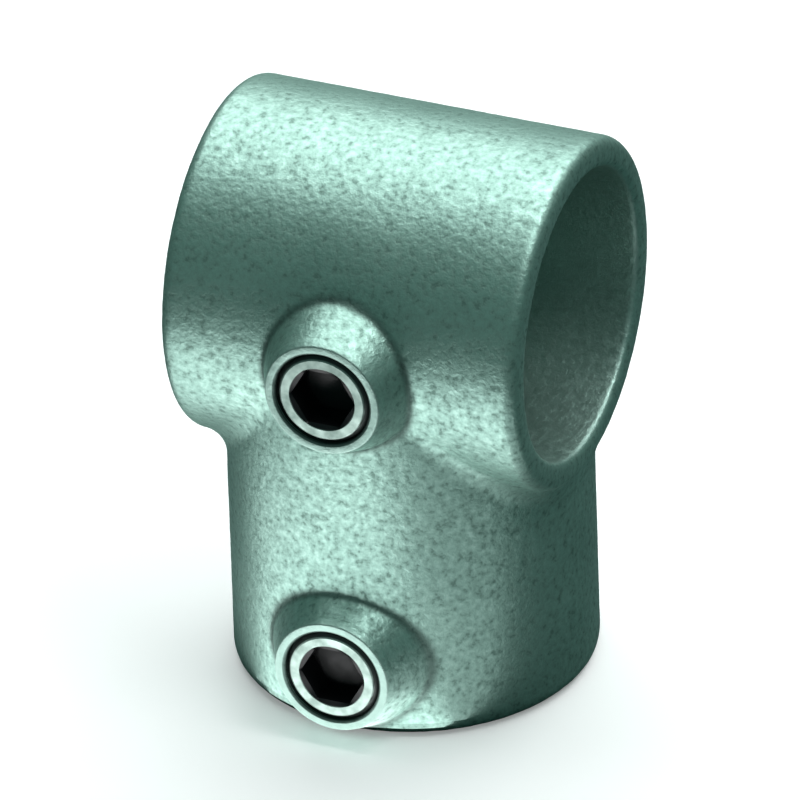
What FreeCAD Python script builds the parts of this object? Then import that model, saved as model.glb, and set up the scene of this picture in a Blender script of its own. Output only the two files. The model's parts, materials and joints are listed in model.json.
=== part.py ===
"""Tube clamp tee fitting: an open collar, one closed socket and two socket set screws.

The run tube passes through the collar along X. The branch tube goes up into the socket,
which hangs down along -Z. Each tube is gripped by a set screw in a boss on the -Y side.
The origin is the point where the axes of the two tubes cross. Lengths are in millimetres.
"""
import FreeCAD, Part
import os

import Sketcher

DRIVING_SIZES = [
    ("tube_diameter", 48.3, "outside diameter of the tube that the fitting takes"),
    ("tube_gap", 0.6, "space all round the tube in either bore"),
    ("collar_wall", 5.15, "thickness of the collar that goes round the run tube"),
    ("collar_overhang", 1.15, "socket's side out to the end of the collar"),
    ("socket_wall", 5.85, "thickness of the socket that holds the branch tube"),
    ("socket_depth", 39.85, "open end of the socket in to the seat of its tube"),
    ("collar_edge_round", 2.4, "rounding of the collar's outer end edges"),
    ("socket_edge_bevel", 1.6, "bevel of the socket's outer end edge"),
    ("mouth_chamfer", 0.9, "chamfer at the open ends of both bores"),
    ("upper_boss_drop", 2.4, "run axis down to the upper screw's axis"),
    ("lower_boss_rise", 13.95, "socket's open end up to the lower screw's axis"),
    ("boss_reach", 36.0, "tube axes to the flat rims of the bosses"),
    ("boss_wall", 1.77, "metal round the thread at a boss's rim"),
    ("boss_flare", 25.0, "half angle of a boss's cone, in degrees"),
    ("boss_root_cover", 1.0, "bore wall to the inner end of a boss's cone"),
    ("thread_diameter", 16.66, "major diameter of the screws' 3/8 pipe thread"),
    ("sink_width", 0.42, "widening of a tapped hole's mouth, all round"),
    ("sink_angle", 90.0, "full angle of that mouth, in degrees"),
    ("screw_gap", 0.05, "space all round a screw in its tapped hole"),
    ("screw_inset", 0.15, "boss's rim down to the top of its screw"),
    ("screw_tip_gap", 0.2, "bore wall to the point of a screw that is backed off"),
    ("top_chamfer", 0.9, "chamfer at the top of a screw"),
    ("point_chamfer", 1.7, "depth of the chamfer round the cup point"),
    ("point_taper", 3.08, "screw's side in to the ring of its cup point"),
    ("cup_depth", 1.6, "hollow of the cup point"),
    ("key_width", 9.8, "hexagon socket across its flats"),
    ("key_web", 5.4, "floor of the hexagon socket to the screw's point"),
]

DERIVED_SIZES = [
    ("bore_radius", "tube_diameter / 2 + tube_gap"),
    ("collar_radius", "bore_radius + collar_wall"),
    ("socket_radius", "bore_radius + socket_wall"),
    ("collar_length", "2 * (socket_radius + collar_overhang)"),
    ("socket_reach", "collar_radius + socket_depth"),
    ("lower_boss_drop", "socket_reach - lower_boss_rise"),
    ("boss_rim_radius", "thread_diameter / 2 + boss_wall"),
    ("boss_root", "bore_radius + boss_root_cover"),
    ("boss_spread", "(boss_reach - boss_root) * tan(boss_flare * 1deg)"),
    ("screw_radius", "thread_diameter / 2 - screw_gap"),
    ("screw_tip", "bore_radius + screw_tip_gap"),
    ("screw_top", "boss_reach - screw_inset"),
    ("key_floor", "screw_tip + key_web"),
]

SAME_PLACE = 1e-4


def fill_sheet(doc):
    """Write each size in a row of its own: its name, its value and what it measures."""
    sheet = doc.addObject("Spreadsheet::Sheet", "Sizes")
    rows = [(name, str(value), meaning) for name, value, meaning in DRIVING_SIZES]
    rows += [(name, f"={formula}", "follows from the sizes above") for name, formula in DERIVED_SIZES]
    for row, (name, content, meaning) in enumerate(rows, start=1):
        sheet.set(f"A{row}", name)
        sheet.set(f"B{row}", content)
        sheet.setAlias(f"B{row}", name)
        sheet.set(f"C{row}", meaning)
    doc.recompute()


def new_sketch(body, name, role, **shift):
    """An empty sketch on one of the body's origin planes, shifted in it by expressions."""
    sketch = body.newObject("Sketcher::SketchObject", name)
    plane = next(item for item in body.Origin.OriginFeatures if item.Role == role)
    sketch.AttachmentSupport = [(plane, "")]
    sketch.MapMode = "FlatFace"
    for direction, distance in shift.items():
        sketch.setExpression(f"AttachmentOffset.Base.{direction}", distance)
    return sketch


def draw_circle(sketch, radius):
    """A circle round the sketch's origin."""
    circle = sketch.addGeometry(Part.Circle(FreeCAD.Vector(), FreeCAD.Vector(0, 0, 1), 1))
    sketch.addConstraint(Sketcher.Constraint("Coincident", circle, 3, -1, 1))
    size = sketch.addConstraint(Sketcher.Constraint("Radius", circle, 1))
    sketch.setExpression(f"Constraints[{size}]", radius)


def draw_outline(sketch, corners):
    """A closed outline of straight lines, with both places of each corner from expressions."""
    points = [FreeCAD.Vector(*[float(sketch.evalExpression(place)) for place in corner], 0)
              for corner in corners]
    for start, end in zip(points, points[1:] + points[:1]):
        sketch.addGeometry(Part.LineSegment(start, end))
    for side in range(len(points)):
        following = (side + 1) % len(points)
        sketch.addConstraint(Sketcher.Constraint("Coincident", side, 2, following, 1))
    for side, (point, corner) in enumerate(zip(points, corners)):
        for kind, value, place in zip(("DistanceX", "DistanceY"), point, corner):
            size = sketch.addConstraint(Sketcher.Constraint(kind, -1, 1, side, 1, value))
            sketch.setExpression(f"Constraints[{size}]", place)


def draw_hexagon(sketch, width):
    """A regular hexagon round the sketch's origin, with its corners left and right."""
    half = f"{width} / 2"
    corner = f"{width} / sqrt(3)"
    draw_outline(sketch, [
        (corner, "0"),
        (f"{corner} / 2", half),
        (f"-{corner} / 2", half),
        (f"-{corner}", "0"),
        (f"-{corner} / 2", f"-{half}"),
        (f"{corner} / 2", f"-{half}"),
    ])


def extrude(body, kind, name, sketch, length, **settings):
    """A pad or a pocket of a sketch, with its length from an expression."""
    feature = body.newObject(f"PartDesign::{kind}", name)
    feature.Profile = sketch
    feature.Type = "Length"
    feature.setExpression("Length", length)
    for setting, value in settings.items():
        setattr(feature, setting, value)
    body.Document.recompute()
    return feature


def revolve(body, name, sketch):
    """A full revolution of a sketch about the line along Y through its origin."""
    feature = body.newObject("PartDesign::Revolution", name)
    feature.Profile = sketch
    feature.ReferenceAxis = (sketch, ["H_Axis"])
    feature.Angle = 360
    body.Document.recompute()
    return feature


def soften(body, kind, name, base, is_wanted, size):
    """A fillet or chamfer on the edges of the base that the given test picks."""
    names = [f"Edge{number}" for number, edge in enumerate(base.Shape.Edges, start=1)
             if is_wanted(edge)]
    feature = body.newObject(f"PartDesign::{kind}", name)
    feature.Base = (base, names)
    feature.setExpression("Radius" if kind == "Fillet" else "Size", size)
    body.Document.recompute()
    return feature


def circle_test(radius, **place):
    """A test for circular edges of one radius, centred at the places given on X, Y or Z."""

    def is_wanted(edge):
        if not isinstance(edge.Curve, Part.Circle):
            return False
        is_placed = all(abs(abs(getattr(edge.Curve.Center, axis)) - value) < SAME_PLACE
                        for axis, value in place.items())
        return is_placed and abs(edge.Curve.Radius - radius) < SAME_PLACE

    return is_wanted


def open_collar(body, sizes):
    """The round collar along X, with both of its outer end edges rounded."""
    outside = new_sketch(body, "collar_outside", "YZ_Plane")
    draw_circle(outside, "Sizes.collar_radius")
    collar = extrude(body, "Pad", "collar", outside, "Sizes.collar_length", SideType="Symmetric")
    at_ends = circle_test(sizes.collar_radius, x=sizes.collar_length / 2)
    soften(body, "Fillet", "collar_rounding", collar, at_ends, "Sizes.collar_edge_round")


def closed_socket(body, sizes):
    """The round socket down along -Z, with its outer end edge bevelled."""
    outside = new_sketch(body, "socket_outside", "XY_Plane")
    draw_circle(outside, "Sizes.socket_radius")
    socket = extrude(body, "Pad", "socket", outside, "Sizes.socket_reach", Reversed=True)
    at_end = circle_test(sizes.socket_radius, z=sizes.socket_reach)
    soften(body, "Chamfer", "socket_bevel", socket, at_end, "Sizes.socket_edge_bevel")


def screw_boss(body, name, drop):
    """A cone that stands on the wall towards -Y and ends in a flat rim round its screw."""
    sketch = new_sketch(body, f"{name}_section", "YZ_Plane", y=f"-{drop}")
    draw_outline(sketch, [
        ("-Sizes.boss_reach", "0"),
        ("-Sizes.boss_reach", "Sizes.boss_rim_radius"),
        ("-Sizes.boss_root", "Sizes.boss_rim_radius + Sizes.boss_spread"),
        ("-Sizes.boss_root", "0"),
    ])
    revolve(body, name, sketch)


def socket_end_cut(body):
    """The flat end of the socket, which also cuts off the foot of the lower boss's cone."""
    end = new_sketch(body, "socket_end", "XY_Plane", z="-Sizes.socket_reach")
    draw_circle(end, "Sizes.boss_reach")
    extrude(body, "Pocket", "socket_end_cut", end, "Sizes.boss_reach")


def run_bore(body, sizes):
    """The bore right through the collar, chamfered at both ends."""
    inside = new_sketch(body, "collar_inside", "YZ_Plane")
    draw_circle(inside, "Sizes.bore_radius")
    bore = extrude(body, "Pocket", "run_bore", inside, "Sizes.collar_length", SideType="Symmetric")
    at_ends = circle_test(sizes.bore_radius, x=sizes.collar_length / 2)
    soften(body, "Chamfer", "collar_mouths", bore, at_ends, "Sizes.mouth_chamfer")


def socket_bore(body, sizes):
    """The blind bore of the socket, which ends flat where the collar's wall begins."""
    inside = new_sketch(body, "socket_inside", "XY_Plane", z="-Sizes.socket_reach")
    draw_circle(inside, "Sizes.bore_radius")
    bore = extrude(body, "Pocket", "socket_bore", inside, "Sizes.socket_depth", Reversed=True)
    at_mouth = circle_test(sizes.bore_radius, z=sizes.socket_reach)
    soften(body, "Chamfer", "socket_mouth", bore, at_mouth, "Sizes.mouth_chamfer")


def tapped_hole(body, name, drop):
    """A countersunk hole from the boss's rim to the tube's axis, at the thread's diameter."""
    sketch = new_sketch(body, f"{name}_place", "XZ_Plane", y=f"-{drop}", z="Sizes.boss_reach")
    draw_circle(sketch, "Sizes.thread_diameter / 2")
    body.Document.recompute()
    hole = body.newObject("PartDesign::Hole", name)
    hole.Profile = sketch
    body.Document.recompute()
    hole.Threaded = False
    hole.DepthType = "Dimension"
    hole.DrillPoint = "Flat"
    hole.HoleCutType = "Countersink"
    hole.HoleCutCustomValues = True
    hole.setExpression("Diameter", "Sizes.thread_diameter")
    hole.setExpression("Depth", "Sizes.boss_reach")
    hole.setExpression("HoleCutDiameter", "Sizes.thread_diameter + 2 * Sizes.sink_width")
    hole.setExpression("HoleCutCountersinkAngle", "Sizes.sink_angle")
    body.Document.recompute()


def tee_casting(doc):
    """The one-piece iron casting: its outside first, then its bores and tapped holes."""
    body = doc.addObject("PartDesign::Body", "tee_casting")
    body.Label = "tee_casting"
    open_collar(body, doc.Sizes)
    closed_socket(body, doc.Sizes)
    screw_boss(body, "upper_boss", "Sizes.upper_boss_drop")
    screw_boss(body, "lower_boss", "Sizes.lower_boss_drop")
    socket_end_cut(body)
    run_bore(body, doc.Sizes)
    socket_bore(body, doc.Sizes)
    tapped_hole(body, "upper_tapped_hole", "Sizes.upper_boss_drop")
    tapped_hole(body, "lower_tapped_hole", "Sizes.lower_boss_drop")
    return body


def set_screw(doc, name, drop):
    """A hexagon socket set screw with a cup point, in its boss and backed off its tube."""
    body = doc.addObject("PartDesign::Body", name)
    body.Label = name

    section = new_sketch(body, f"{name}_section", "YZ_Plane", y=f"-{drop}")
    draw_outline(section, [
        ("-Sizes.screw_top", "0"),
        ("-Sizes.screw_top", "Sizes.screw_radius - Sizes.top_chamfer"),
        ("-Sizes.screw_top + Sizes.top_chamfer", "Sizes.screw_radius"),
        ("-Sizes.screw_tip - Sizes.point_chamfer", "Sizes.screw_radius"),
        ("-Sizes.screw_tip", "Sizes.screw_radius - Sizes.point_taper"),
        ("-Sizes.screw_tip - Sizes.cup_depth", "0"),
    ])
    revolve(body, f"{name}_blank", section)

    key = new_sketch(body, f"{name}_key", "XZ_Plane", y=f"-{drop}", z="Sizes.screw_top")
    draw_hexagon(key, "Sizes.key_width")
    extrude(body, "Pocket", f"{name}_key_socket", key, "Sizes.screw_top - Sizes.key_floor")
    return body


def write_parts(doc, bodies):
    """Check every object, then write each body to a file that has the body's name."""
    for item in doc.Objects:
        if {"Invalid", "Error"} & set(item.State):
            raise RuntimeError(f"{item.Name} failed: {item.State}")
    for body in bodies:
        if body.Shape.isNull() or not body.Shape.isValid():
            raise RuntimeError(f"{body.Label} has no valid shape")
    os.makedirs("parts", exist_ok=True)
    for body in bodies:
        body.Shape.exportStep(f"parts/{body.Label}.step")
        print(f"{body.Label}: {len(body.Shape.Solids)} solid, {body.Shape.Volume:.0f} mm3")


document = FreeCAD.newDocument("tube_clamp_tee")
fill_sheet(document)
pieces = [
    tee_casting(document),
    set_screw(document, "upper_set_screw", "Sizes.upper_boss_drop"),
    set_screw(document, "lower_set_screw", "Sizes.lower_boss_drop"),
]
document.recompute()
write_parts(document, pieces)
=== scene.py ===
import json
import math

import bmesh
import bpy
import numpy as np
from mathutils import Matrix, Vector, noise


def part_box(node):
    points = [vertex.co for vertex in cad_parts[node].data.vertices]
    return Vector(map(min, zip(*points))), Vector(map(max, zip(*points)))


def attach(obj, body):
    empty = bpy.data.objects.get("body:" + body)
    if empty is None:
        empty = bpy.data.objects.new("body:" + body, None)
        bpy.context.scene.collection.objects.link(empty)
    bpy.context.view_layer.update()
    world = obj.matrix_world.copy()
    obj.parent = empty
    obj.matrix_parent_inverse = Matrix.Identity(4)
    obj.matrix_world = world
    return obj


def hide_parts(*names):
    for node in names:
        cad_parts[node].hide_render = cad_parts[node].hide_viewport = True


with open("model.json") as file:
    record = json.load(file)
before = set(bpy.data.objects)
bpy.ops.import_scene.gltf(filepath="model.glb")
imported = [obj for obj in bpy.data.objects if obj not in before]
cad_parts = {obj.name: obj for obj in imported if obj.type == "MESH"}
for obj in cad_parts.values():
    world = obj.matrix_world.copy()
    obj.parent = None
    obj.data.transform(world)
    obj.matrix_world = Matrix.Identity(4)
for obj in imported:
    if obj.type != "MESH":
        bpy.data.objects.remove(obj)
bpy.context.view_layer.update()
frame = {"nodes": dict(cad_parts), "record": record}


# The tee casting is one piece of malleable iron, cast in sand and hot-dip galvanised.
# The outside keeps the sand's grain under a pale, green-tinted coat of zinc, and wherever
# two forms meet, the pattern left a small fillet. Only the bores and holes are machined.
MM = 0.001  # in metres, as the frame is, while the sizes below are in millimetres
mounts = {mount["name"]: mount for mount in frame["record"]["mounts"]}
casting_low, casting_high = [np.array(corner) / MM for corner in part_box("tee_casting")]

collar_half = casting_high[0]
collar_radius = casting_high[2]
collar_edge = 2.4
collar_overhang = 1.15
socket_end = -casting_low[2]
socket_radius = collar_half - collar_overhang
socket_edge = 2.6
socket_ease = 14.0
crotch_fillet = 4.5
least_fillet = 0.02

bore_radius = mounts["run_clamp"]["dims"]["r_mm"]
mouth_chamfer = 0.9
seat_depth = collar_radius
seat_corner = 1.2
cut_edge = 0.3

rim_reach = -casting_low[1]
rim_radius = 10.1
boss_slope = math.tan(math.radians(25))
boss_root = bore_radius + 1.0  # the cones stop short of the bores
boss_fillet = 0.55
cone_top = 0.6
cone_edge = 0.2
hole_radius = 9.15  # wider than the thread, which belongs to the boss's mouth below
hole_foot = 15

skin_inset = 0.1  # inside the CAD node, to leave room for the grain
casting_cell = 0.6
kept_faces = 0.68


def screw_place(node):
    """Height of the screw's axis, its top, its point and its radius, in millimetres."""
    low, high = [np.array(corner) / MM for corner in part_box(node)]
    return {"z": (low[2] + high[2]) / 2, "top": low[1], "point": high[1], "radius": high[0]}


screws = {name: screw_place(f"{name}_set_screw") for name in ("upper", "lower")}


def fillet_union(one, other, radius):
    """Two forms joined, with a concave fillet where they meet."""
    return np.maximum(radius, np.minimum(one, other)) - np.hypot(
        np.maximum(radius - one, 0), np.maximum(radius - other, 0))


def rounded_cut(one, other, radius):
    """What two forms have in common, with its edge rounded."""
    return -fillet_union(-one, -other, radius)


def round_bar(radial, along, radius, half_length, rounding):
    """Distance to a round bar with rounded end edges, and its slope outwards and endwise."""
    past_end = along - (half_length - rounding)
    past_side = radial - (radius - rounding)
    reach = np.hypot(np.maximum(past_end, 0), np.maximum(past_side, 0))
    distance = reach + np.minimum(np.maximum(past_end, past_side), 0) - rounding
    safe = np.maximum(reach, 1e-6)
    return distance, np.maximum(past_side, 0) / safe, np.maximum(past_end, 0) / safe


def joined_walls(x, y, z):
    """Signed distance to the outside of collar and socket, with the fillet between them.

    The fillet fades out where the two walls face alike. The wider socket eases into the
    collar's width towards its top.
    """
    about_run = np.hypot(y, z)
    about_branch = np.hypot(x, y)
    collar, outwards, endwise = round_bar(
        about_run, np.abs(x), collar_radius, collar_half, collar_edge)
    ease = np.clip(z / socket_ease + 1, 0, 1)
    side = socket_radius - (socket_radius - collar_radius) * ease * ease * (3 - 2 * ease)
    middle = (socket_end - socket_edge) / 2
    socket, _, _ = round_bar(
        about_branch, np.abs(z + middle), side, socket_end - middle, socket_edge)
    alike = ((np.abs(x) * endwise + outwards * y * y / np.maximum(about_run, 1))
             / np.maximum(about_branch, 1))
    return fillet_union(collar, socket, crotch_fillet * np.clip(1 - alike, least_fillet, 1))


def boss_cone(x, y, z, place):
    """The boss round one screw: a cone that ends just below its rim, which faces -Y."""
    depth = y + rim_reach
    radial = np.hypot(x, z - place["z"])
    cone = (radial - rim_radius - depth * boss_slope) / math.hypot(1, boss_slope)
    return np.maximum(rounded_cut(cone, cone_top - depth, cone_edge), y + boss_root)


def bored_mouth(radial, to_end):
    """The room of a bore that widens in a chamfer at its open end."""
    chamfer = (radial - bore_radius - mouth_chamfer + to_end) / math.sqrt(2)
    return np.minimum(radial - bore_radius, chamfer)


def casting_form(points):
    """Signed distance to the casting's skin, negative in the metal, in millimetres."""
    x, y, z = points.T
    form = joined_walls(x, y, z)
    for place in screws.values():
        form = fillet_union(form, boss_cone(x, y, z, place), boss_fillet)
    form = np.maximum(form, np.abs(x) - collar_half)
    form = rounded_cut(form, -z - socket_end, cut_edge)
    run_room = bored_mouth(np.hypot(y, z), collar_half - np.abs(x))
    branch_room = rounded_cut(
        bored_mouth(np.hypot(x, y), socket_end + z), z + seat_depth, seat_corner)
    for room in (run_room, branch_room):
        form = rounded_cut(form + skin_inset, -room, cut_edge) - skin_inset
    for place in screws.values():
        hole = np.maximum(np.hypot(x, z - place["z"]) - hole_radius, y + hole_foot)
        form = np.maximum(form + skin_inset, -hole) - skin_inset
    return form + skin_inset


def slope_of(form, points, step=0.02):
    """The form's gradient at the points, by central differences."""
    slope = np.empty_like(points)
    for axis in range(3):
        shift = np.zeros(3)
        shift[axis] = step
        slope[:, axis] = (form(points + shift) - form(points - shift)) / (2 * step)
    return slope


def settle(form, points, rounds=5, least_steep=0.2, longest_move=0.4):
    """Move the points onto the form's skin. Returns them and the outward directions."""
    for _ in range(rounds):
        slope = slope_of(form, points)
        steep = np.maximum((slope ** 2).sum(1), least_steep)
        move = np.clip(form(points) / steep, -longest_move, longest_move)
        points = points - move[:, None] * slope
    outward = slope_of(form, points)
    return points, outward / np.maximum(np.linalg.norm(outward, axis=1), 1e-6)[:, None]


def put_in_scene(name, mesh):
    """A new object in the scene that shows the mesh."""
    item = bpy.data.objects.new(name, mesh)
    bpy.context.scene.collection.objects.link(item)
    return item


def applied_mesh(item, name):
    """The item's mesh with its modifier applied. The item itself is taken away."""
    view_layer = bpy.context.evaluated_depsgraph_get()
    mesh = bpy.data.meshes.new_from_object(item.evaluated_get(view_layer))
    bpy.data.objects.remove(item)
    mesh.name = name
    return mesh


def even_mesh(node, name, cell):
    """A copy of a CAD node's mesh, remade with evenly spread small faces."""
    mesh = frame["nodes"][node].data.copy()
    welded = bmesh.new()
    welded.from_mesh(mesh)
    bmesh.ops.remove_doubles(welded, verts=welded.verts, dist=1e-7)
    welded.to_mesh(mesh)
    welded.free()
    source = put_in_scene(f"{name}_source", mesh)
    remesh = source.modifiers.new("even", "REMESH")
    remesh.mode = "VOXEL"
    remesh.voxel_size = cell * MM
    return applied_mesh(source, name)


def thin_out(mesh, machined, share):
    """Fewer and larger faces on the plain machined walls, none lost on the grained skin."""
    holder = put_in_scene("thinning", mesh)
    walls = holder.vertex_groups.new(name="walls")
    walls.add([int(index) for index in np.flatnonzero(machined > 0.5)], 1.0, "REPLACE")
    thinner = holder.modifiers.new("thinner", "DECIMATE")
    thinner.ratio = share
    thinner.vertex_group = "walls"
    thinner.vertex_group_factor = 10.0
    return applied_mesh(holder, mesh.name)


def points_of(mesh):
    """The mesh's points, in millimetres."""
    points = np.empty(len(mesh.vertices) * 3)
    mesh.vertices.foreach_get("co", points)
    return points.reshape(-1, 3) / MM


def mark_points(mesh, **marks):
    """Smooth shading, and at each point the marks that the finish reads, from 0 to 1."""
    for name, values in marks.items():
        mesh.attributes.new(name, "FLOAT", "POINT").data.foreach_set("value", values)
    mesh.polygons.foreach_set("use_smooth", [True] * len(mesh.polygons))


grain_waves = ((0.030, 0.62), (0.030, 0.15), (0.022, 1.25))  # height, waves in a millimetre
most_grain = 0.09
plain_reach = 2.5
plain_depth = 1.6
plain_fade = 2.0
machined_plainness = 0.8
bore_band = 0.3
hole_band = 0.2
seat_band = 0.5
hole_start = -20
corner_width = 0.9
# strength of the painted crease shade, with some dirt, at the boss roots
corner_shade_and_dirt = 0.75


def sand_grain(points):
    """How far the sand's grain and the zinc's runs lift the skin, which is plain at the rims."""
    lift = np.empty(len(points))
    for index, point in enumerate(points):
        spot = Vector(point)
        lift[index] = sum(height * noise.noise(spot * waves) for height, waves in grain_waves)
    lift = np.clip(lift, -most_grain, most_grain)
    for place in screws.values():
        near_rim = np.hypot(points[:, 0], points[:, 2] - place["z"]) < rim_radius + plain_reach
        depth = points[:, 1] + rim_reach
        lift = np.where(near_rim, lift * np.clip((depth - plain_depth) / plain_fade, 0, 1), lift)
    return lift


def in_bore(points):
    """1 where the skin is the machined wall of a bore or hole, 0 outside."""
    x, y, z = points.T
    run = np.hypot(y, z) < bore_radius + bore_band
    branch = (np.hypot(x, y) < bore_radius + bore_band) & (z < -seat_depth + seat_band)
    upper, lower = [(np.hypot(x, z - place["z"]) < hole_radius + hole_band) & (y < hole_start)
                    for place in screws.values()]
    return (run | branch | upper | lower).astype(float)


def shaded_dirty_corner(points):
    """How near the skin is to the corner at a boss's root, which is painted darker as crease
    shade with some dirt, up to 1.
    """
    x, y, z = points.T
    wall = joined_walls(x, y, z)
    gaps = [np.hypot(boss_cone(x, y, z, place), wall) for place in screws.values()]
    return np.clip(1 - np.minimum(*gaps) / corner_width, 0, 1)


casting_mesh = even_mesh("tee_casting", "galvanised_tee", casting_cell)
skin, outward = settle(casting_form, points_of(casting_mesh))
machined = in_bore(skin)
# the corner at each boss's root is painted darker: painted crease shade, with some dirt
shade_and_dirt = corner_shade_and_dirt * shaded_dirty_corner(skin)
skin += outward * (sand_grain(skin) * (1 - machined_plainness * machined))[:, None]
casting_mesh.vertices.foreach_set("co", (skin * MM).ravel())
mark_points(casting_mesh, machined=machined, grime=shade_and_dirt)
casting_mesh.update()
casting_mesh = thin_out(casting_mesh, machined, kept_faces)
casting = put_in_scene("galvanised_tee", casting_mesh)
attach(casting, "casting")
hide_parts("tee_casting")


def node_material(name):
    """An empty node material with its shader. Returns the material, its tree and the shader."""
    material = bpy.data.materials.new(name)
    material.use_nodes = True
    tree = material.node_tree
    return material, tree, tree.nodes["Principled BSDF"]


def add_node(tree, kind, settings=None, **inputs):
    """A node of that kind, with its settings and its inputs, which are values or links."""
    node = tree.nodes.new(kind)
    for setting, value in (settings or {}).items():
        setattr(node, setting, value)
    for title, value in inputs.items():
        socket = node.inputs[title.replace("_", " ")]
        if isinstance(value, bpy.types.NodeSocket):
            tree.links.new(value, socket)
        else:
            socket.default_value = value
    return node


def point_mark(tree, name):
    """The mark of that name at the mesh's points, from 0 to 1."""
    return add_node(tree, "ShaderNodeAttribute", {"attribute_name": name}).outputs["Fac"]


def scaled(tree, value, times, plus=0.0):
    """A value times a number, plus another."""
    result = add_node(tree, "ShaderNodeMath", {"operation": "MULTIPLY_ADD"})
    tree.links.new(value, result.inputs[0])
    result.inputs[1].default_value = times
    result.inputs[2].default_value = plus
    return result.outputs[0]


def tone_ramp(tree, factor, stops):
    """A colour ramp with the given (place, colour) stops."""
    ramp = add_node(tree, "ShaderNodeValToRGB", Fac=factor)
    elements = ramp.color_ramp.elements
    for stop, (place, colour) in zip((elements[0], elements[1]), stops):
        stop.position = place
        stop.color = (*colour, 1)
    for place, colour in stops[2:]:
        elements.new(place).color = (*colour, 1)
    return ramp.outputs["Color"]


def blend_colours(tree, factor, one, other, blend_type="MIX"):
    """Two colours mixed by a factor."""
    mix = tree.nodes.new("ShaderNodeMix")
    mix.data_type = "RGBA"
    mix.blend_type = blend_type
    for index, value in ((0, factor), (6, one), (7, other)):
        if isinstance(value, bpy.types.NodeSocket):
            tree.links.new(value, mix.inputs[index])
        elif index == 0:
            mix.inputs[index].default_value = value
        else:
            mix.inputs[index].default_value = (*value, 1)
    return mix.outputs[2]


zinc_specks = [(0.30, (0.19, 0.31, 0.27)), (0.42, (0.29, 0.455, 0.40)),
               (0.58, (0.345, 0.54, 0.475)), (0.72, (0.40, 0.60, 0.535))]
zinc_mottle = [(0.35, (0.86, 0.88, 0.88)), (0.65, (1.0, 1.0, 1.0))]
machined_iron = (0.31, 0.45, 0.405)
# near-black colour for painted shade in creases and grooves, with some dirt at the boss roots
gathered_grime = (0.018, 0.032, 0.028)


def galvanised_iron():
    """Zinc over sand-cast iron: mottled mint grey, with fine dark specks and a grainy skin."""
    material, tree, shader = node_material("galvanised_iron")
    place = add_node(tree, "ShaderNodeTexCoord").outputs["Object"]
    cloud = add_node(tree, "ShaderNodeTexNoise", Vector=place, Scale=60.0, Detail=3.0)
    grain = add_node(tree, "ShaderNodeTexNoise", Vector=place,
                     Scale=820.0, Detail=2.0, Roughness=0.6)
    fine = add_node(tree, "ShaderNodeTexNoise", Vector=place, Scale=2100.0, Detail=2.0)
    speck = tone_ramp(tree, grain.outputs["Fac"], zinc_specks)
    mottle = tone_ramp(tree, cloud.outputs["Fac"], zinc_mottle)
    zinc = blend_colours(tree, 1.0, speck, mottle, "MULTIPLY")
    zinc = blend_colours(tree, point_mark(tree, "machined"), zinc, machined_iron)
    # darkened where the mark is: painted crease shade with some dirt at the boss roots, and
    # painted shade in the rims' grooves
    zinc = blend_colours(tree, point_mark(tree, "grime"), zinc, gathered_grime)
    tree.links.new(zinc, shader.inputs["Base Color"])
    rough = add_node(tree, "ShaderNodeMapRange", Value=grain.outputs["Fac"],
                     From_Min=0.3, From_Max=0.7, To_Min=0.54, To_Max=0.38)
    tree.links.new(rough.outputs["Result"], shader.inputs["Roughness"])
    shader.inputs["Metallic"].default_value = 0.85
    low = add_node(tree, "ShaderNodeBump", Strength=0.75, Distance=0.00015,
                   Height=grain.outputs["Fac"])
    bump = add_node(tree, "ShaderNodeBump", Strength=0.5, Distance=0.00006,
                    Height=fine.outputs["Fac"], Normal=low.outputs["Normal"])
    tree.links.new(bump.outputs["Normal"], shader.inputs["Normal"])
    return material


casting_finish = galvanised_iron()
casting_mesh.materials.clear()
casting_mesh.materials.append(casting_finish)


# The mouth of each boss is faced flat and tapped after casting. The flat rim is bright and
# crisp, and its small countersink and the thread inside are painted dark, as shade in the
# groove.
skirt_foot = 2.2
skirt_steps = (1.5, 0.9, 0.5, 0.2)
skirt_proud = 0.03
skirt_sunk = 0.15
rim_rounding = ((0.07, 0.08), (0.015, 0.17), (0.0, 0.3))  # depth, how far inwards

sink_width = 0.42
sink_rounding = ((0.0, 0.12), (0.03, 0.0))  # depth, how far outwards
sink_step = 0.02
tapped_radius = 8.33
thread_pitch = 25.4 / 19
thread_groove = 0.5
thread_crest = 0.14
thread_flank = 0.72
thread_start = 0.08
thread_foot = 4.2
thread_fade = 0.6
thread_run_out = 0.2

buried_radius = 9.5  # the back of the mouth, inside the casting's metal
buried_top = 2.7
buried_step = 0.6
bore_gap = 0.03

bright_depth = 0.25
# how far past the countersink the painted groove shade reaches
groove_shade_spread = 0.06
mark_fade = 0.1
rim_sharp_angle = math.radians(32)

segments = 168
rows_per_turn = 14
ring_angles = np.arange(segments) * 2 * math.pi / segments


def thread_dip(y):
    """How deep the thread is cut round a ring, from 0 on its crests to 1 in its roots."""
    turn = (y / thread_pitch - ring_angles / (2 * math.pi)) % 1
    flank = np.abs(turn - 0.5) * 2
    return np.clip((flank - thread_crest) / thread_flank, 0, 1)


def ring_round(place, y, radius):
    """A ring of points round a screw's axis. Its height and radius may vary round it."""
    radius = np.broadcast_to(radius, ring_angles.shape)
    height = np.broadcast_to(y, ring_angles.shape)
    return np.column_stack([radius * np.sin(ring_angles), height,
                            place["z"] + radius * np.cos(ring_angles)])


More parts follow.
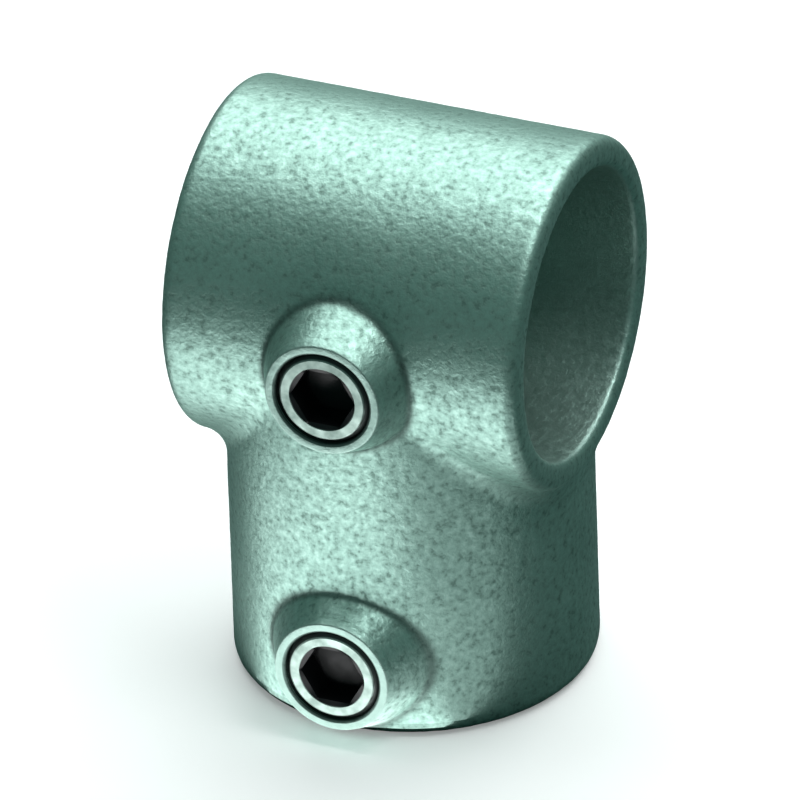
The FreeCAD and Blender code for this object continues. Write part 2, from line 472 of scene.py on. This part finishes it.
def ring_mesh(name, rings, is_loop=False):
    """A closed mesh through rings of points, which closes on itself or in two end caps."""
    count = len(rings[0])
    points = np.vstack(rings)
    pairs = [(ring, ring + 1) for ring in range(len(rings) - 1)]
    if is_loop:
        pairs.append((len(rings) - 1, 0))
    faces = []
    for ring, following in pairs:
        for side in range(count):
            beside = (side + 1) % count
            faces.append((ring * count + side, ring * count + beside,
                          following * count + beside, following * count + side))
    if not is_loop:
        points = np.vstack([points, rings[0].mean(0)[None], rings[-1].mean(0)[None]])
        first_cap = len(rings) * count
        last = (len(rings) - 1) * count
        for side in range(count):
            beside = (side + 1) % count
            faces.append((first_cap, beside, side))
            faces.append((first_cap + 1, last + side, last + beside))
    mesh = bpy.data.meshes.new(name)
    mesh.from_pydata([tuple(point) for point in points * MM], [], faces)
    mesh.update()
    return mesh


def rim_rings(name, place):
    """The rings of a boss's mouth, up its thread and over its rim to inside the metal."""

    def ring(depth, radius):
        return ring_round(place, depth - rim_reach, radius)

    def to_bore(radius):
        """How deep under the rim the bore's wall lies, round a ring of that radius."""
        along = radius * np.sin(ring_angles)
        if name == "upper":
            along = place["z"] + radius * np.cos(ring_angles)
        return rim_reach - np.sqrt(bore_radius ** 2 - along ** 2)

    def cone(depth):
        """Radius of the casting's skin at that depth under the rim."""
        return rim_radius + depth * boss_slope - skin_inset / math.cos(math.atan(boss_slope))

    rings = [ring(to_bore(buried_radius) - buried_step, buried_radius),
             ring(buried_top, buried_radius), ring(skirt_foot, cone(skirt_foot) - skirt_sunk)]
    rings += [ring(depth, cone(depth) + skirt_proud) for depth in skirt_steps]
    rings += [ring(depth, rim_radius - inwards) for depth, inwards in rim_rounding]
    rings += [ring(depth, tapped_radius + sink_width + outwards)
              for depth, outwards in sink_rounding]
    rings += [ring(sink_width, tapped_radius + sink_step)]
    for depth in np.arange(sink_width + thread_start, thread_foot, thread_pitch / rows_per_turn):
        fade = min(1.0, (thread_foot - depth) / thread_fade)
        rings.append(ring(depth, tapped_radius + thread_groove * fade * thread_dip(depth)))
    rings += [ring(thread_foot + thread_run_out, tapped_radius)]
    rings += [ring(to_bore(radius) - bore_gap, radius)
              for radius in (tapped_radius, buried_radius)]
    return rings[::-1]


for name, place in screws.items():
    mesh = ring_mesh(f"{name}_boss_rim", rim_rings(name, place), is_loop=True)
    x, y, z = points_of(mesh).T
    radial = np.hypot(x, z - place["z"])
    bright = np.clip((bright_depth - (y + rim_reach)) / mark_fade, 0, 1)
    # painted shade in the countersink and the thread, which lie in the groove
    thread_shade = np.clip((tapped_radius + sink_width + groove_shade_spread - radial) / mark_fade, 0, 1)
    mark_points(mesh, machined=bright, grime=thread_shade)
    mesh.set_sharp_from_angle(angle=rim_sharp_angle)
    mesh.materials.append(casting_finish)
    rim = put_in_scene(f"{name}_boss_rim", mesh)
    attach(rim, "casting")


# Each set screw is turned from steel bar, with a hexagon socket for a key, a right-hand
# pipe thread of 19 turns to the inch and a hollow cup point that bites the tube.
# It is zinc plated. Its thread is painted dark as shade, and its key socket is painted near
# black as shade, with old oil.
thread_depth = 0.64 * thread_pitch
top_chamfer = 0.9
top_rounding = 0.12
top_rise = ((0.0, 0.12), (0.05, 0.02))  # depth, how far inwards
point_chamfer = 1.7
point_rounding = 0.06
cup_radius = 5.2
cup_edge = 0.3
cup_lip = 0.22
cup_depth = 1.6
cup_bottom = 0.3

key_width = 9.8
key_web = 5.4
key_floor_share = 0.97
key_corner = 0.4
key_mouth = 0.45
key_lip = 0.2
key_rows = 8
lip_radius = key_width / math.sqrt(3) + key_lip
drill_radius = 4.5
drill_depth = 1.3
drill_tip = 0.4
screw_sharp_angle = math.radians(18)

plate_tones = [(0.35, (0.22, 0.30, 0.27)), (0.65, (0.37, 0.48, 0.44))]
# painted shade: near black in the key socket, with old oil, and dark on the thread
old_oil = (0.006, 0.007, 0.008)
oil_line = 0.1
oil_reach = 0.02
oil_start = 0.02
oil_fade = 0.08
thread_shade_start = 0.06
thread_shade_share = 0.9


def hexagon(angles, width):
    """Distance from the middle to the side of a hexagon, in each direction."""
    sixth = math.pi / 3
    off_middle = (angles + sixth / 2) % sixth - sixth / 2
    return width / 2 / np.cos(off_middle)


def screw_rings(place):
    """The rings of a set screw from the middle of its key socket round to its cup."""
    top = place["top"]
    point = place["point"]
    crest = place["radius"]
    floor = point - key_web

    def ring(y, radius):
        return ring_round(place, y, radius)

    key = hexagon(ring_angles, key_width)
    rings = [ring(floor + drill_depth, drill_tip), ring(floor, drill_radius),
             ring(floor, key * key_floor_share), ring(floor, key)]
    rings += [ring(y, key) for y in np.linspace(floor - key_corner, top + key_mouth, key_rows)]
    rings += [ring(top + oil_line, lip_radius + (key - lip_radius) * oil_line / key_mouth)]
    rings += [ring(top, lip_radius)]
    rings += [ring(top + depth, crest - top_chamfer - inwards) for depth, inwards in top_rise]
    steps = int((point - top) / thread_pitch * rows_per_turn)
    for y in np.linspace(top + top_rounding, point - point_rounding, steps):
        top_side = crest - top_chamfer + (y - top)
        point_side = cup_radius + cup_edge + (
            (point - y) * (crest - cup_radius - cup_edge) / point_chamfer)
        cut = crest - thread_depth * thread_dip(y)
        rings.append(ring(y, np.minimum(min(crest, top_side, point_side), cut)))
    rings += [ring(point, cup_radius + cup_lip), ring(point, cup_radius)]
    rings += [ring(point - cup_depth, cup_bottom)]
    return rings


def zinc_plated_steel():
    """Bright plated steel, brushed by the key, with painted shade on its thread and painted
    shade and old oil in its key socket.
    """
    material, tree, shader = node_material("zinc_plated_steel")
    place = add_node(tree, "ShaderNodeTexCoord").outputs["Object"]
    wear = add_node(tree, "ShaderNodeTexNoise", Vector=place, Scale=420.0, Detail=4.0)
    plate = tone_ramp(tree, wear.outputs["Fac"], plate_tones)
    oil = point_mark(tree, "oil")
    # the key socket and the thread are painted dark as shade, the socket with old oil
    tree.links.new(blend_colours(tree, oil, plate, old_oil), shader.inputs["Base Color"])
    rough = add_node(tree, "ShaderNodeMapRange", Value=wear.outputs["Fac"],
                     From_Min=0.3, From_Max=0.7, To_Min=0.45, To_Max=0.28)
    tree.links.new(rough.outputs["Result"], shader.inputs["Roughness"])
    tree.links.new(scaled(tree, oil, -0.6, 0.95), shader.inputs["Metallic"])
    bump = add_node(tree, "ShaderNodeBump", Strength=0.3, Distance=0.00005,
                    Height=wear.outputs["Fac"])
    tree.links.new(bump.outputs["Normal"], shader.inputs["Normal"])
    return material


screw_finish = zinc_plated_steel()
for name, place in screws.items():
    mesh = ring_mesh(f"{name}_screw", screw_rings(place))
    x, y, z = points_of(mesh).T
    radial = np.hypot(x, z - place["z"])
    below_top = y - place["top"]
    key_end = place["point"] - key_web + drill_depth
    # where the painted shade goes: the key socket below its mouth, and the thread below the top
    in_key = (radial < lip_radius + oil_reach) & (y < key_end + oil_reach)
    oil = np.where(in_key, np.clip((below_top - oil_start) / oil_fade, 0, 1), 0)
    in_thread = np.clip((radial - place["radius"] + thread_depth + oil_start) / oil_fade, 0, 1)
    thread_shade = thread_shade_share * in_thread * np.clip((below_top - thread_shade_start) / mark_fade, 0, 1)
    mark_points(mesh, oil=np.maximum(oil, thread_shade))
    mesh.set_sharp_from_angle(angle=screw_sharp_angle)
    mesh.materials.append(screw_finish)
    screw = put_in_scene(f"{name}_screw", mesh)
    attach(screw, f"{name}_screw")
    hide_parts(f"{name}_set_screw")


# The fitting stands on the end of its socket, on a floor that is one plain pale sheet.
# The sheet is flat and reaches well past the fitting on every side.
floor_size = 6.0
floor_seen = (0.86, 0.87, 0.87)
floor_mirrored = (0.035, 0.078, 0.072)
floor_glow = 0.26


def pale_floor():
    """Matt white to the camera, and dim where the zinc mirrors it."""
    material, tree, shader = node_material("pale_floor")
    camera_ray = add_node(tree, "ShaderNodeLightPath").outputs["Is Camera Ray"]
    colour = blend_colours(tree, camera_ray, floor_mirrored, floor_seen)
    tree.links.new(colour, shader.inputs["Base Color"])
    shader.inputs["Roughness"].default_value = 0.9
    shader.inputs["Emission Color"].default_value = (1, 1, 1, 1)
    tree.links.new(scaled(tree, camera_ray, floor_glow), shader.inputs["Emission Strength"])
    return material


edge = floor_size / 2
floor_z = -socket_end * MM
floor_mesh = bpy.data.meshes.new("floor")
floor_mesh.from_pydata([(-edge, -edge, floor_z), (edge, -edge, floor_z),
                        (edge, edge, floor_z), (-edge, edge, floor_z)], [], [(0, 1, 2, 3)])
floor_mesh.materials.append(pale_floor())
floor = put_in_scene("floor", floor_mesh)


# Studio light: a large soft lamp overhead and a little behind, and a small one high up on
# the right. Two lit panels, the right one dimmer, lie on the floor in front and face up.
# The room round them is dim, and is white only to the camera.
def soft_lamp(name, place, size, watts, aim=(0, 0, -0.02)):
    """A square area lamp that faces the aim, out of the camera's sight."""
    data = bpy.data.lights.new(name, "AREA")
    data.shape = "SQUARE"
    data.size = size
    data.energy = watts
    lamp = bpy.data.objects.new(name, data)
    lamp.location = place
    lamp.rotation_euler = (Vector(aim) - Vector(place)).to_track_quat("-Z", "Y").to_euler()
    lamp.visible_camera = False
    bpy.context.scene.collection.objects.link(lamp)


soft_lamp("overhead_lamp", (-0.06, 0.42, 0.88), size=1.35, watts=15.6)
soft_lamp("right_lamp", (0.45, -0.14, 0.81), size=0.34, watts=1.9)
soft_lamp("front_panel", (-0.042, -0.086, -0.068), size=0.12, watts=0.085,
          aim=(-0.042, -0.086, 1.0))
soft_lamp("dim_panel", (0.024, -0.094, -0.067), size=0.14, watts=0.042,
          aim=(0.024, -0.094, 1.0))

dim_room = (0.075, 0.155, 0.14, 1)
white_wall = (1, 1, 1, 1)
world = bpy.data.worlds.new("studio")
bpy.context.scene.world = world
world.use_nodes = True
backdrop = world.node_tree
backdrop.nodes.clear()
path = add_node(backdrop, "ShaderNodeLightPath")
room = add_node(backdrop, "ShaderNodeBackground", Color=dim_room, Strength=1.0)
white = add_node(backdrop, "ShaderNodeBackground", Color=white_wall, Strength=1.0)
seen = add_node(backdrop, "ShaderNodeMixShader", Fac=path.outputs["Is Camera Ray"])
backdrop.links.new(room.outputs[0], seen.inputs[1])
backdrop.links.new(white.outputs[0], seen.inputs[2])
world_out = add_node(backdrop, "ShaderNodeOutputWorld")
backdrop.links.new(seen.outputs[0], world_out.inputs["Surface"])


# The camera stands where the photograph's did, right of the screws and above them. Its
# lens is longer, so that the fitting fills the picture.
camera_turn = math.radians(23.6)
camera_rise = math.radians(31.2)
camera_roll = math.radians(-1.9)
camera_distance = 3.28
camera_target = Vector((-0.0017, 0, -0.0232))
photo_focal_px = 4506
photo_width_px = 800
sensor_width = 36
longer_lens = 4.4
sight = Vector((math.sin(camera_turn) * math.cos(camera_rise),
                -math.cos(camera_turn) * math.cos(camera_rise), math.sin(camera_rise)))
facing = (-sight).to_track_quat("-Z", "Y").to_matrix().to_4x4()
camera_data = bpy.data.cameras.new("camera")
camera_data.sensor_width = sensor_width
camera_data.lens = photo_focal_px / photo_width_px * sensor_width * longer_lens
camera_data.clip_end = 50
camera = bpy.data.objects.new("camera", camera_data)
camera.matrix_world = (Matrix.Translation(camera_target + sight * camera_distance) @ facing
                       @ Matrix.Rotation(camera_roll, 4, "Z"))
bpy.context.scene.collection.objects.link(camera)
bpy.context.scene.camera = camera
bpy.context.scene.view_settings.view_transform = "Standard"
